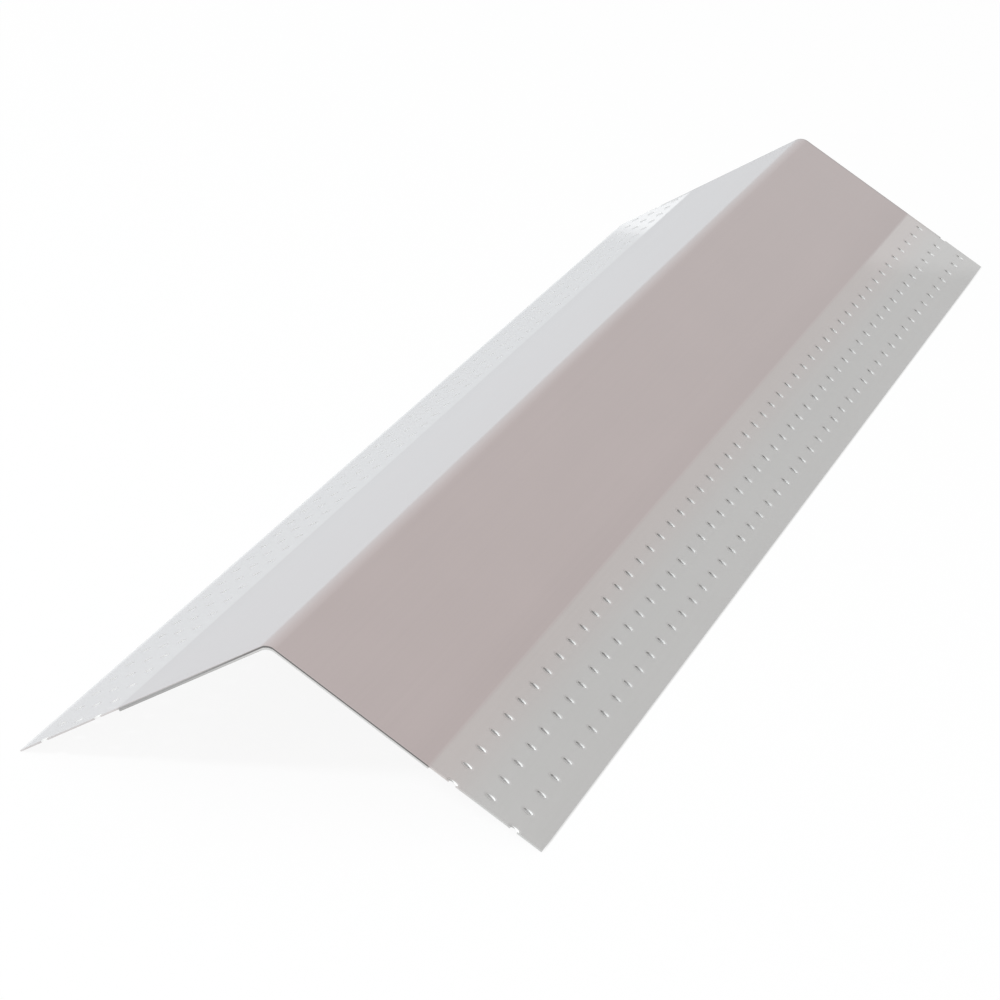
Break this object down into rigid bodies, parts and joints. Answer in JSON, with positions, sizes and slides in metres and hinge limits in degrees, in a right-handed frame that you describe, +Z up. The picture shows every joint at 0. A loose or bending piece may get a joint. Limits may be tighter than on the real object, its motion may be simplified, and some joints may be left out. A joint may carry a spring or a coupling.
{
  "type": "drywall corner bead",
  "caption": "Outside corner bead for wall board: a thin slit-pierced facing folded over a rounded nose, with a narrower stiffening core laminated inside; it guards and shapes the corner.",
  "frame": {"origin": "middle of the strip's footprint, on the floor that its two wing edges stand on", "axes": "+Y along the strip, away from the end nearest in the picture; +X across it to the right-hand wing; +Z up to the nose"},
  "size_m": [0.0926, 0.305, 0.0276],
  "materials": {
    "facing": "satin film",
    "core": "matt"
  },
  "bodies": {
    "root": {"perforated_facing": "facing", "stiffening_core": "core"}
  },
  "joints": []
}
